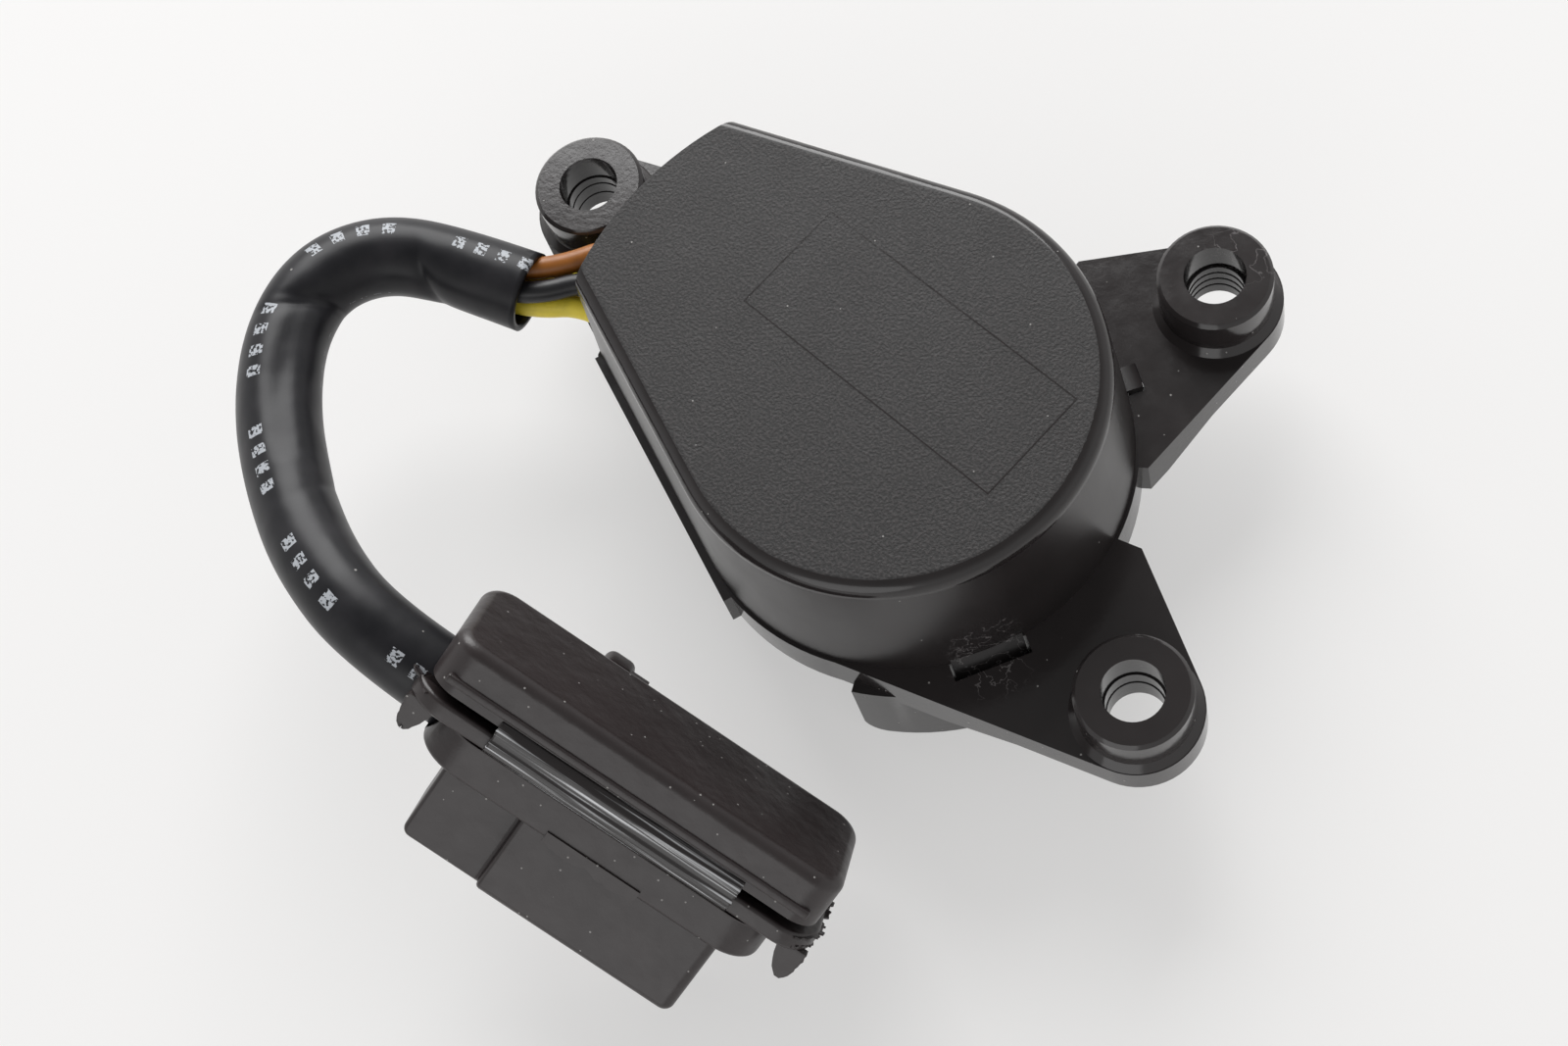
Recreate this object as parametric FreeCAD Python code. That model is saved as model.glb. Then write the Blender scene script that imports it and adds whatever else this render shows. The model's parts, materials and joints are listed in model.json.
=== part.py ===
import FreeCAD, Part
import math
import os

os.makedirs("parts", exist_ok=True)

# Aspirated temperature sensor, millimetres.
# Frame: +Z up, Z = 0 at the end of the air inlet that it stands on, Z axis = fan axis,
# -X = direction of the single ear and of the cable end.

V = FreeCAD.Vector
UP = V(0, 0, 1)
QUARTER_TURN = 90.0
HALF_TURN = 180.0
FULL_TURN = 360.0
SAME = 0.0001                   # lengths closer than this count as equal
OVER = 1.0                      # how far a cutting solid runs past what it cuts

# Housing outline at the parting plane and at the cover top
BODY_R = 21.45
BODY_END_R = 33.2
TOP_R = 20.5
TOP_END_R = 31.7
SIDE_ANGLE = 20.0               # slope of the straight sides against the X axis
WALL = 1.6
COVER_TOP_Z = 31.4
COVER_ROUND = 1.5

# Base: tray, flange plate and air inlet
PLATE_Z = 14.2                  # top of the flange plate, and the parting plane
TRAY_Z = 9.2
FLOOR_T = 1.6
RIM_OVER = 0.35                 # rim stands out past the cover wall
EAR_T = 3.6
INLET_R = 12.0
INLET_BORE_R = 10.4

# Ears: distance from the axis, direction, and where the two edges meet the body
EAR_A = (42.9, 180.0, (33.0, 160.0), (33.0, 200.0))
EAR_B = (32.95, 68.7, (22.7, 36.0), (25.6, 92.5))
EAR_C = (33.55, -9.1, (21.7, -73.4), (24.2, 16.4))
EAR_R = 6.3
BOSS_R = 5.5
BOSS_TOP_Z = 19.3
BOSS_FOOT = 0.7
BOSS_EDGE = 0.35
SCREW_R = 2.8
SCREW_MOUTH_R = 2.95
SCREW_STEP_Z = 15.6

# Curved skirt under the flange, and the straight rail on the near side
SKIRT_R = 23.1
SKIRT_T = 1.8
SKIRT_FROM = -62.4
SKIRT_TO = -12.0
SKIRT_CORNER = 2.2
RAIL_DIST = 22.2
RAIL_T = 1.1
RAIL_PAST = 4.3                 # how far it runs on past the tangent point

# Snap tongues of the cover in slots of the plate: direction and width
SNAPS = ((-27.5, 7.6), (60.0, 3.0))
SNAP_SLOT_IN = BODY_R - 0.15
SNAP_SLOT_OUT = BODY_R + 1.65
SNAP_GAP = 0.25
SNAP_OUT = BODY_R + 0.95
SNAP_TOP_Z = 14.7
SNAP_HOOK = 0.5
SNAP_HOOK_H = 1.2
SNAP_LOW_Z = 8.0

# Openings in the cover's end wall
WINDOW_Y = (-10.4, 0.9)
WINDOW_Z = (16.4, 21.2)
VENT_Y = (2.6, 5.6, 8.6)
VENT_W = 1.8
VENT_Z = (17.0, 26.0)

# Fan rotor
HUB_R = 11.6
HUB_TOP_Z = 21.2
DISC_R = 17.2
DISC_T = 1.0
DOME_Z = 13.8
BLADE_COUNT = 11
BLADE_T = 0.9
BLADE_R = 16.9
BLADE_Z = 12.6
BLADE_SWEEP = 28.0
YOKE_R = 10.6
YOKE_T = 0.8
YOKE_Z = 15.0
YOKE_TOP_Z = 20.8
YOKE_FLOOR = 1.0
MAGNET_IN_R = 8.4
MAGNET_Z = (16.4, 20.6)
SHAFT_R = 1.0
SHAFT_END_GAP = 0.6              # between the shaft's end and the cover
CLIP_R = 1.8
CLIP_T = 0.4
CLIP_DROP = 0.5                 # from the shaft's end to the clip
CLIP_GAP = 0.1                  # between the clip and the upper bearing

# Motor stator, bearings and board
TUBE_R = 3.0
TUBE_BORE_R = 2.2
TUBE_Z = 16.6
BEARING_BORE_R = 1.03
BEARING_H = 3.4
BEARING_LOW_Z = 16.8
CORE_RING_R = 4.6
CORE_R = 8.0
CORE_SHOE_R = 6.9
CORE_Z = (17.4, 19.8)
POLES = 4
POLE_W = 2.4
SHOE_ANGLE = 66.0
COIL_W = 4.6
COIL_R = (4.9, 6.4)
COIL_GROW = 0.9
BOARD_R = 16.5
BOARD_Z = 23.0
BOARD_T = 1.4
BOARD_END_X = -28.6
BOARD_END_Y = 9.6
BOARD_GAP = 0.15
SOCKET_R = 4.4
SOCKET_H = 3.2
POST_R = 1.5
POST_AT = ((11.0, 9.0), (11.0, -9.0), (-20.0, -7.0), (-20.0, 9.0))
HALL_AT = (0.0, 9.1)
HALL_SIZE = (4.0, 1.6, 1.4)
CAP_R = 2.4
CAP_H = 4.6
CAP_AT = (-14.0, 3.0)
CHIP_AT = (4.0, -10.5)
CHIP_SIZE = (6.0, 4.0, 1.5)

# Temperature bead and its two leads
BEAD_R = 1.3
BEAD_TIP_R = 0.6
BEAD_TIP_H = 0.7
BEAD_Z = 6.0
LEAD_R = 0.25
LEAD_SIDES = 6
LEAD_Y = 0.6
LEAD_WALL_X = -8.4
LEAD_FLOOR_Z = 11.5
LEAD_BOARD_X = -21.5

# Cable: sleeve over four wires
WIRE_R = 1.1
WIRE_SIDES = 8
SLEEVE_R = 4.15
SLEEVE_SIDES = 16
SLEEVE_T = 0.6
BEND_SHARE = 0.45               # share of the shorter run that a bend takes up
WIRE_PAD_X = (-22.4, -25.4)     # of the lower and the upper two wires
WIRE_EXIT = (-34.0, -4.0)
WIRE_Z = 18.8
WIRE_SPREAD = 1.15              # wires leave the window at two heights
WIRE_LAY = 1.25                 # each wire's distance from the sleeve's axis, two ways
WIRE_ROW = 1.6                  # the same in the plug, across it
# Each wire: name, sideways shift in the window, lay in the sleeve, contact place, row and layer
WIRES = (
    ("wire_brown", 3.0, (1, 1), (-9.0, -1, -1)),
    ("wire_black", -2.4, (-1, 1), (-4.5, -1, 1)),
    ("wire_yellow", -1.6, (1, -1), (-9.0, 1, -1)),
    ("wire_pale_yellow", -4.8, (-1, -1), (-4.5, 1, 1)),
)
SLEEVE_ROUTE = (
    (-39.2, -12.1, 18.8),
    (-46.6, -14.9, 19.8),
    (-52.9, -18.6, 20.7),
    (-55.6, -24.5, 21.5),
    (-53.4, -31.2, 22.5),
    (-47.6, -37.5, 23.4),
    (-39.9, -42.3, 24.8),
    (-31.0, -46.0, 27.2),
)

# Plug, in its own frame: X along it, -Y the near side, +Z towards the hood
PLUG_AT = (3.69, -41.4, 17.9)
PLUG_TURN = 11.1
PLUG_DIP = 24.8
PLUG_ROLL = -55.4
PLUG_CABLE_Z = -1.6
PLUG_CABLE_BEFORE = -27.3
PLUG_CABLE_END = -18.0
PLUG_CABLE_JOG = -13.5
PLUG_CABLE_SAG = 0.25
HOOD_L = 41.4
HOOD_W = 14.4
HOOD_Z = (0.35, 6.5)
HOOD_T = 1.3
HOOD_ROUND = 1.2
HOOD_CORNER = 3.0
NUB_SIZE = (2.4, 1.2, 3.2)
NUB_X = -4.5
NUB_Z = 2.6
FLANGE_L = 43.6
FLANGE_W = 13.6
FLANGE_Z = (-1.9, 0.05)
FLANGE_CORNER = 4.0
BLOCK_L = 36.6
BLOCK_W = 12.6
BLOCK_Z = -6.0
BLOCK_CORNER = 4.5
CHAMBER_L = 31.0
CHAMBER_W = 9.8
CHAMBER_Z = -4.4
NOSE_L = 29.8
NOSE_W = 10.5
NOSE_Z = -15.0
NOSE_CORNER = 1.2
NOSE_ROUND = 0.9
NOSE_STEP_X = -6.5
NOSE_STEP = 1.3
WING_W = 3.2
WING_T = 1.3
WING_Z = -5.2
HINGE_L = 26.0
HINGE_T = 0.45
HINGE_Z = (-1.7, 0.75)
HINGE_BULGE = 0.35
PIVOT_OUT = 0.7                 # hood pivot, outside its near wall
PIVOT_Z = 0.15
CONTACT_W = 1.7
CONTACT_D = 2.1
CONTACT_Z = (-14.2, -7.0)
CAVITY_GAP = 0.15
WIRE_BORE_GAP = 0.15


def polar(radius, degrees, z=0.0):
    angle = math.radians(degrees)
    return V(radius * math.cos(angle), radius * math.sin(angle), z)


def cyl(radius, z0, z1, x=0.0, y=0.0):
    return Part.makeCylinder(radius, z1 - z0, V(x, y, z0))


def ring(inner, outer, z0, z1):
    return cyl(outer, z0, z1).cut(cyl(inner, z0 - OVER, z1 + OVER))


def block(x0, x1, y0, y1, z0, z1):
    return Part.makeBox(x1 - x0, y1 - y0, z1 - z0, V(x0, y0, z0))


def prism(points, z0, z1):
    corners = [V(p[0], p[1], z0) for p in points]
    return Part.Face(Part.makePolygon(corners + corners[:1])).extrude(UP * (z1 - z0))


def turned(shape, degrees):
    copy = shape.copy()
    copy.rotate(V(0, 0, 0), UP, degrees)
    return copy


def joined(shapes):
    return shapes[0].multiFuse(shapes[1:]).removeSplitter()


def upright_edges(shape):
    found = []
    for edge in shape.Edges:
        ends = [vertex.Point for vertex in edge.Vertexes]
        if len(ends) == 2 and abs(ends[0].x - ends[1].x) + abs(ends[0].y - ends[1].y) < SAME:
            found.append(edge)
    return found


def rounded_block(length, width, z0, z1, corner):
    box = block(-length / 2, length / 2, -width / 2, width / 2, z0, z1)
    return box.makeFillet(corner, upright_edges(box))


def save(name, shape):
    shape.exportStep("parts/" + name + ".step")


# Housing: a round end, two straight sides touching it, and an arc about the same axis

def drop_corners(radius, end_radius, z):
    foot = polar(radius, -QUARTER_TURN - SIDE_ANGLE, z)
    slope = math.radians(SIDE_ANGLE)
    corner = foot + V(-math.cos(slope), math.sin(slope), 0) * 2 * end_radius
    mirrored = [V(p.x, -p.y, z) for p in (corner, foot)]
    return [V(0, 0, z), foot, corner] + mirrored


def housing(low_r, low_end_r, high_r, high_end_r, z0, z1):
    sections = []
    for radius, end_radius, z in ((low_r, low_end_r, z0), (high_r, high_end_r, z1)):
        corners = drop_corners(radius, end_radius, z)
        sections.append(Part.makePolygon(corners + corners[:1]))
    sides = Part.makeLoft(sections, True, True)
    end = Part.makeCone(low_end_r, high_end_r, z1 - z0, V(0, 0, z0))
    nose = Part.makeCone(low_r, high_r, z1 - z0, V(0, 0, z0))
    return sides.common(end).fuse(nose).removeSplitter()


def straight_housing(grow, z0, z1):
    corners = drop_corners(BODY_R + grow, BODY_END_R + grow, z0)
    sides = prism(corners, z0, z1).common(cyl(BODY_END_R + grow, z0, z1))
    return sides.fuse(cyl(BODY_R + grow, z0, z1)).removeSplitter()


# Cover: drafted shell with rounded top, snap tongues, board posts and bearing socket
cover = housing(BODY_R, BODY_END_R, TOP_R, TOP_END_R, PLATE_Z, COVER_TOP_Z)
top_edges = [e for e in cover.Edges if e.BoundBox.ZMin > COVER_TOP_Z - SAME]
side_edges = [e for e in top_edges if e.CenterOfMass.x > -TOP_R or abs(e.CenterOfMass.y) > WALL]
cover = cover.makeFillet(COVER_ROUND, side_edges)
cover_inner_z = COVER_TOP_Z - WALL
hollow = housing(BODY_R - WALL, BODY_END_R - WALL, TOP_R - WALL, TOP_END_R - WALL,
                 PLATE_Z - SAME, cover_inner_z)
cover = cover.cut(hollow)
end_cut = -BODY_END_R - OVER
end_in = -BODY_R - OVER
cover = cover.cut(block(end_cut, end_in, WINDOW_Y[0], WINDOW_Y[1], WINDOW_Z[0], WINDOW_Z[1]))
for vent_y in VENT_Y:
    cover = cover.cut(block(end_cut, end_in, vent_y, vent_y + VENT_W, VENT_Z[0], VENT_Z[1]))
cover_adds = [cover, ring(TUBE_R, SOCKET_R, cover_inner_z - SOCKET_H, cover_inner_z)]
for post in POST_AT:
    cover_adds.append(cyl(POST_R, BOARD_Z + BOARD_T, cover_inner_z, post[0], post[1]))
for angle, width in SNAPS:
    half = width / 2 - SNAP_GAP
    tongue = block(SNAP_SLOT_IN + SNAP_GAP, SNAP_OUT, -half, half, SNAP_LOW_Z, SNAP_TOP_Z)
    bridge = block(BODY_R - WALL, SNAP_OUT, -half, half, PLATE_Z, SNAP_TOP_Z)
    hook = prism(((SNAP_OUT, 0), (SNAP_OUT + SNAP_HOOK, 0), (SNAP_OUT, -SNAP_HOOK_H)), -half, half)
    hook.rotate(V(0, 0, 0), V(1, 0, 0), QUARTER_TURN)
    hook.translate(V(0, 0, TRAY_Z - SNAP_GAP))
    cover_adds += [turned(tongue, angle), turned(bridge, angle), turned(hook, angle)]
cover = joined(cover_adds)
save("cover", cover)


# Base: tray, flange with three bossed ears, skirt, rail, air inlet

def tangent_point(anchor, centre, radius, side):
    away = anchor - centre
    reach = math.degrees(math.acos(radius / away.Length))
    heading = math.degrees(math.atan2(away.y, away.x))
    return centre + polar(radius, heading + side * reach)


def ear_plate(ear):
    distance, angle, low, high = ear
    centre = polar(distance, angle)
    first = polar(low[0], low[1])
    second = polar(high[0], high[1])
    near = tangent_point(first, centre, EAR_R, 1)
    far = tangent_point(second, centre, EAR_R, -1)
    web = prism((V(0, 0, 0), first, near, far, second), TRAY_Z, PLATE_Z)
    plate = web.fuse(cyl(EAR_R, TRAY_Z, PLATE_Z, centre.x, centre.y))
    tip = distance + EAR_R + OVER
    ear_z = PLATE_Z - EAR_T
    seat = distance - BOSS_R
    slope = prism(((BODY_R, TRAY_Z), (seat, ear_z), (tip, ear_z), (tip, 0), (BODY_R, 0)), -tip, tip)
    slope.rotate(V(0, 0, 0), V(1, 0, 0), QUARTER_TURN)
    return plate.cut(turned(slope, angle))


def boss(ear):
    centre = polar(ear[0], ear[1])
    post = cyl(BOSS_R, PLATE_Z - OVER, BOSS_TOP_Z, centre.x, centre.y)
    rim_edges = [e for e in post.Edges if e.BoundBox.ZMin > BOSS_TOP_Z - SAME]
    post = post.makeChamfer(BOSS_EDGE, rim_edges)
    foot = Part.makeCone(BOSS_R + BOSS_FOOT, BOSS_R, BOSS_FOOT, V(centre.x, centre.y, PLATE_Z))
    return post.fuse(foot)


def screw_hole(ear):
    centre = polar(ear[0], ear[1])
    bore = cyl(SCREW_R, 0, BOSS_TOP_Z + OVER, centre.x, centre.y)
    return bore.fuse(cyl(SCREW_MOUTH_R, SCREW_STEP_Z, BOSS_TOP_Z + OVER, centre.x, centre.y))


ears = (EAR_A, EAR_B, EAR_C)
base_parts = [straight_housing(RIM_OVER, TRAY_Z, PLATE_Z)]
base_parts += [ear_plate(ear) for ear in ears]
base_parts += [cyl(INLET_R, 0, TRAY_Z + FLOOR_T)]

skirt = ring(SKIRT_R - SKIRT_T, SKIRT_R, 0, PLATE_Z - EAR_T)
skirt_span = prism((V(0, 0, 0), polar(2 * SKIRT_R, SKIRT_FROM),
                    polar(2 * SKIRT_R, (SKIRT_FROM + SKIRT_TO) / 2),
                    polar(2 * SKIRT_R, SKIRT_TO)), 0, PLATE_Z - EAR_T)
skirt = skirt.common(skirt_span)
foot_edges = [e for e in skirt.Edges if e.BoundBox.ZMax < SAME]
corner_edges = [e for e in foot_edges if abs(e.Length - SKIRT_T) < SAME]
skirt = skirt.makeFillet(SKIRT_CORNER, corner_edges)
base_parts.append(skirt)

rail_len = math.sqrt(BODY_END_R ** 2 - BODY_R ** 2) + RAIL_PAST
rail = block(-rail_len + RAIL_PAST, RAIL_PAST, -RAIL_DIST, -RAIL_DIST + RAIL_T, TRAY_Z, PLATE_Z)
base_parts.append(turned(rail, -SIDE_ANGLE))
base = joined(base_parts)
base = joined([base] + [boss(ear) for ear in ears])

base = base.cut(straight_housing(-WALL, TRAY_Z + FLOOR_T, PLATE_Z + OVER))
base = base.cut(cyl(INLET_BORE_R, -OVER, PLATE_Z))
for ear in ears:
    base = base.cut(screw_hole(ear))
for angle, width in SNAPS:
    slot = block(SNAP_SLOT_IN, SNAP_SLOT_OUT, -width / 2, width / 2, TRAY_Z - OVER, PLATE_Z + OVER)
    base = base.cut(turned(slot, angle))
    hook_room = block(SNAP_SLOT_IN, SNAP_SLOT_OUT + OVER, -width / 2, width / 2,
                      SNAP_LOW_Z - OVER, TRAY_Z)
    base = base.cut(turned(hook_room, angle))
save("base", base)

# Fan wheel: hub over the rotor cup, back disc, swept blades
wheel_parts = [
    ring(YOKE_R, HUB_R, YOKE_Z, HUB_TOP_Z),
    cyl(HUB_R, DOME_Z, YOKE_Z),
    ring(YOKE_R, DISC_R, HUB_TOP_Z - DISC_T, HUB_TOP_Z),
]
for number in range(BLADE_COUNT):
    blade = block(0, BLADE_R, -BLADE_T / 2, BLADE_T / 2, BLADE_Z, HUB_TOP_Z)
    blade.rotate(V(YOKE_R, 0, 0), UP, BLADE_SWEEP)
    blade = blade.common(ring((YOKE_R + HUB_R) / 2, BLADE_R, BLADE_Z, HUB_TOP_Z))
    wheel_parts.append(turned(blade, FULL_TURN * number / BLADE_COUNT))
impeller = joined(wheel_parts)
save("impeller", impeller)

yoke = cyl(YOKE_R, YOKE_Z, YOKE_TOP_Z)
yoke = yoke.cut(cyl(YOKE_R - YOKE_T, YOKE_Z + YOKE_FLOOR, YOKE_TOP_Z + OVER))
yoke = yoke.cut(cyl(SHAFT_R, 0, YOKE_TOP_Z))
save("rotor_yoke", yoke)
save("ring_magnet", ring(MAGNET_IN_R, YOKE_R - YOKE_T, MAGNET_Z[0], MAGNET_Z[1]))
shaft_top_z = cover_inner_z - SHAFT_END_GAP
clip_z = shaft_top_z - CLIP_DROP - CLIP_T
save("shaft", cyl(SHAFT_R, YOKE_Z, shaft_top_z))
save("shaft_clip", ring(SHAFT_R, CLIP_R, clip_z, clip_z + CLIP_T))

# Stator with four wound poles on the bearing tube
save("bearing_tube", ring(TUBE_BORE_R, TUBE_R, TUBE_Z, cover_inner_z))
bearing_high_z = clip_z - CLIP_GAP - BEARING_H
for name, low in (("bearing_lower", BEARING_LOW_Z), ("bearing_upper", bearing_high_z)):
    save(name, ring(BEARING_BORE_R, TUBE_BORE_R, low, low + BEARING_H))

core_parts = [ring(TUBE_R, CORE_RING_R, CORE_Z[0], CORE_Z[1])]
coils = []
shoe_edge = math.radians(SHOE_ANGLE / 2)
for number in range(POLES):
    turn = FULL_TURN * number / POLES
    arm = block(TUBE_R, CORE_R, -POLE_W / 2, POLE_W / 2, CORE_Z[0], CORE_Z[1])
    arm = arm.cut(cyl(TUBE_R, CORE_Z[0] - OVER, CORE_Z[1] + OVER))
    arm = arm.common(cyl(CORE_R, CORE_Z[0], CORE_Z[1]))
    wide = 2 * CORE_R * math.tan(shoe_edge)
    fan = prism((V(0, 0, 0), V(2 * CORE_R, -wide, 0), V(2 * CORE_R, wide, 0)), CORE_Z[0], CORE_Z[1])
    shoe = ring(CORE_SHOE_R, CORE_R, CORE_Z[0], CORE_Z[1]).common(fan)
    core_parts += [turned(arm, turn), turned(shoe, turn)]
    coil = block(COIL_R[0], COIL_R[1], -COIL_W / 2, COIL_W / 2,
                 CORE_Z[0] - COIL_GROW, CORE_Z[1] + COIL_GROW)
    coil = coil.cut(block(0, CORE_R, -POLE_W / 2, POLE_W / 2, CORE_Z[0], CORE_Z[1]))
    coils.append(turned(coil, turn))
save("stator_core", joined(core_parts))
save("coil_windings", Part.makeCompound(coils))

# Circuit board and what is soldered to it
board_top = BOARD_Z + BOARD_T
board = cyl(BOARD_R, BOARD_Z, board_top)
board = board.fuse(block(BOARD_END_X, 0, -BOARD_END_Y, BOARD_END_Y, BOARD_Z, board_top))
board = board.cut(cyl(TUBE_R + BOARD_GAP, BOARD_Z - OVER, board_top + OVER)).removeSplitter()
save("circuit_board", board)
hall_x, hall_y = HALL_AT
save("hall_sensor", block(hall_x - HALL_SIZE[0] / 2, hall_x + HALL_SIZE[0] / 2,
                          hall_y - HALL_SIZE[1] / 2, hall_y + HALL_SIZE[1] / 2,
                          BOARD_Z - HALL_SIZE[2], BOARD_Z))
save("capacitor", cyl(CAP_R, board_top, board_top + CAP_H, CAP_AT[0], CAP_AT[1]))
chip_x, chip_y = CHIP_AT
save("driver_chip", block(chip_x - CHIP_SIZE[0] / 2, chip_x + CHIP_SIZE[0] / 2,
                          chip_y - CHIP_SIZE[1] / 2, chip_y + CHIP_SIZE[1] / 2,
                          board_top, board_top + CHIP_SIZE[2]))


# Cords: a many-sided section carried along straight runs and the arcs that join them

def section(at, heading, thick, sides):
    flat = V(0, 0, 0)
    corners = [flat + polar(thick, FULL_TURN * (n + 1 / 2) / sides) for n in range(sides)]
    face = Part.Face(Part.makePolygon(corners + corners[:1]))
    face.Placement = FreeCAD.Placement(at, FreeCAD.Rotation(UP, heading))
    return face


def cord(points, thick, sides):
    face = section(points[0], points[1] - points[0], thick, sides)
    start = points[0]
    pieces = []
    radii = []
    length = 0.0
    for before, at, after in zip(points, points[1:], points[2:]):
        come = (at - before).normalize()
        leave = (after - at).normalize()
        turn = come.getAngle(leave)
        cut = BEND_SHARE * min((at - before).Length, (after - at).Length)
        radius = cut / math.tan(turn / 2)
        run = at - come * cut - start
        pieces.append(face.extrude(run))
        face.translate(run)
        axis = come.cross(leave).normalize()
        hub = start + run + axis.cross(come) * radius
        pieces.append(face.revolve(hub, axis, math.degrees(turn)))
        face.rotate(hub, axis, math.degrees(turn))
        length += run.Length + radius * turn
        start = at + leave * cut
        radii.append(radius)
    last = points[-1] - start
    pieces.append(face.extrude(last))
    length += last.Length
    return pieces[0].multiFuse(pieces[1:]), length, radii


def section_area(thick, sides):
    return sides / 2 * thick ** 2 * math.sin(2 * math.pi / sides)


def report_cord(name, solid, length, radii, area):
    print(name, "length", round(length, 1), "radii", [round(r, 1) for r in radii],
          "volume ratio", round(solid.Volume / (area * length), 4))


# Sensing bead: a drop with blunt tips
leads = []
bead = cyl(BEAD_R, BEAD_Z - BEAD_R + BEAD_TIP_H, BEAD_Z + BEAD_R - BEAD_TIP_H)
bead = bead.fuse(Part.makeCone(BEAD_TIP_R, BEAD_R, BEAD_TIP_H, V(0, 0, BEAD_Z - BEAD_R)))
bead = bead.fuse(Part.makeCone(BEAD_R, BEAD_TIP_R, BEAD_TIP_H, V(0, 0, BEAD_Z + BEAD_R - BEAD_TIP_H)))
for side in (-1, 1):
    y = side * LEAD_Y
    lead_points = [V(-BEAD_R / 2, y, BEAD_Z), V(LEAD_WALL_X, y, BEAD_Z),
                   V(LEAD_WALL_X, y, LEAD_FLOOR_Z), V(LEAD_BOARD_X, y, LEAD_FLOOR_Z),
                   V(LEAD_BOARD_X, y, BOARD_Z)]
    lead, lead_length, lead_radii = cord(lead_points, LEAD_R, LEAD_SIDES)
    report_cord("lead", lead, lead_length, lead_radii, section_area(LEAD_R, LEAD_SIDES))
    leads.append(lead.cut(bead))
save("thermistor_bead", bead)
save("thermistor_leads", Part.makeCompound(leads))

# Plug placement and the cable route into it
plug_turn = FreeCAD.Rotation(UP, PLUG_TURN)
plug_turn = plug_turn.multiply(FreeCAD.Rotation(V(0, 1, 0), PLUG_DIP))
plug_turn = plug_turn.multiply(FreeCAD.Rotation(V(1, 0, 0), PLUG_ROLL))
plug_place = FreeCAD.Placement(V(*PLUG_AT), plug_turn)


def in_plug(x, y, z):
    return plug_place.multVec(V(x, y, z))


def placed(shape):
    copy = shape.copy()
    copy.Placement = plug_place.multiply(copy.Placement)
    return copy


route = [V(*p) for p in SLEEVE_ROUTE]
route.append(in_plug(PLUG_CABLE_BEFORE, 0, PLUG_CABLE_Z))
route.append(in_plug(PLUG_CABLE_END, 0, PLUG_CABLE_Z))
sleeve, sleeve_length, sleeve_radii = cord(route, SLEEVE_R, SLEEVE_SIDES)
sleeve_bore = SLEEVE_R - SLEEVE_T
sleeve = sleeve.cut(cord(route, sleeve_bore, SLEEVE_SIDES)[0])
sleeve_area = section_area(SLEEVE_R, SLEEVE_SIDES) - section_area(sleeve_bore, SLEEVE_SIDES)
report_cord("sleeve", sleeve, sleeve_length, sleeve_radii, sleeve_area)
save("sleeve", sleeve)


def beside(points, across, above):
    moved = []
    for number, at in enumerate(points):
        before = points[max(number - 1, 0)]
        after = points[min(number + 1, len(points) - 1)]
        along = (after - before).normalize()
        sideways = along.cross(UP).normalize()
        lift = sideways.cross(along)
        moved.append(at + sideways * across + lift * above)
    return moved


for name, shift, (across, above), (contact_x, row, layer) in WIRES:
    exit_x, exit_y = WIRE_EXIT
    exit_y += shift
    exit_z = WIRE_Z + above * WIRE_SPREAD
    pad_x = WIRE_PAD_X[above > 0]
    wire_points = [V(pad_x, exit_y, BOARD_Z), V(pad_x, exit_y, exit_z), V(exit_x, exit_y, exit_z)]
    wire_points += beside(route, across * WIRE_LAY, above * WIRE_LAY)[:-1]
    run_y = row * WIRE_ROW
    run_z = PLUG_CABLE_Z + layer * WIRE_LAY
    wire_points.append(in_plug(PLUG_CABLE_JOG, run_y, run_z))
    wire_points.append(in_plug(contact_x, run_y, run_z + PLUG_CABLE_SAG))
    wire_points.append(in_plug(contact_x, run_y, CONTACT_Z[1]))
    wire, wire_length, wire_radii = cord(wire_points, WIRE_R, WIRE_SIDES)
    report_cord(name, wire, wire_length, wire_radii, section_area(WIRE_R, WIRE_SIDES))
    save(name, wire)

# Plug: housing, hood, film hinge, contacts
plug = rounded_block(FLANGE_L, FLANGE_W, FLANGE_Z[0], FLANGE_Z[1], FLANGE_CORNER)
plug = plug.fuse(rounded_block(BLOCK_L, BLOCK_W, BLOCK_Z, FLANGE_Z[0], BLOCK_CORNER))
nose = rounded_block(NOSE_L, NOSE_W, NOSE_Z, BLOCK_Z, NOSE_CORNER)
nose = nose.makeFillet(NOSE_ROUND, [e for e in nose.Edges if e.BoundBox.ZMax < NOSE_Z + SAME])
nose = nose.cut(block(-NOSE_L, NOSE_STEP_X, -NOSE_W, -NOSE_W / 2 + NOSE_STEP, NOSE_Z - OVER, BLOCK_Z))
plug = plug.fuse(nose)
for side in (-1, 1):
    tip = side * FLANGE_L / 2
    wing = prism(((-WING_W / 2, FLANGE_Z[0]), (WING_W / 2, FLANGE_Z[0]), (0, WING_Z)), 0, WING_T)
    wing.rotate(V(0, 0, 0), V(1, 0, 0), QUARTER_TURN)
    wing.rotate(V(0, 0, 0), UP, QUARTER_TURN)
    wing.translate(V(tip - WING_T / 2 - side * WING_T, 0, 0))
    plug = plug.fuse(wing)
chamber = block(-CHAMBER_L / 2, CHAMBER_L / 2, -CHAMBER_W / 2, CHAMBER_W / 2, CHAMBER_Z, HOOD_Z[1])
plug = plug.cut(chamber)
entry = Part.makeCylinder(SLEEVE_R, FLANGE_L, V(-FLANGE_L, 0, PLUG_CABLE_Z), V(1, 0, 0))
entry_slot = block(-FLANGE_L, 0, -SLEEVE_R, SLEEVE_R, PLUG_CABLE_Z, HOOD_Z[1])
entry = entry.fuse(entry_slot).common(block(-FLANGE_L, -CHAMBER_L / 2 + OVER, -FLANGE_W, FLANGE_W,
                                            BLOCK_Z - OVER, HOOD_Z[1]))
plug = plug.cut(entry)
contacts = []
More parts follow.
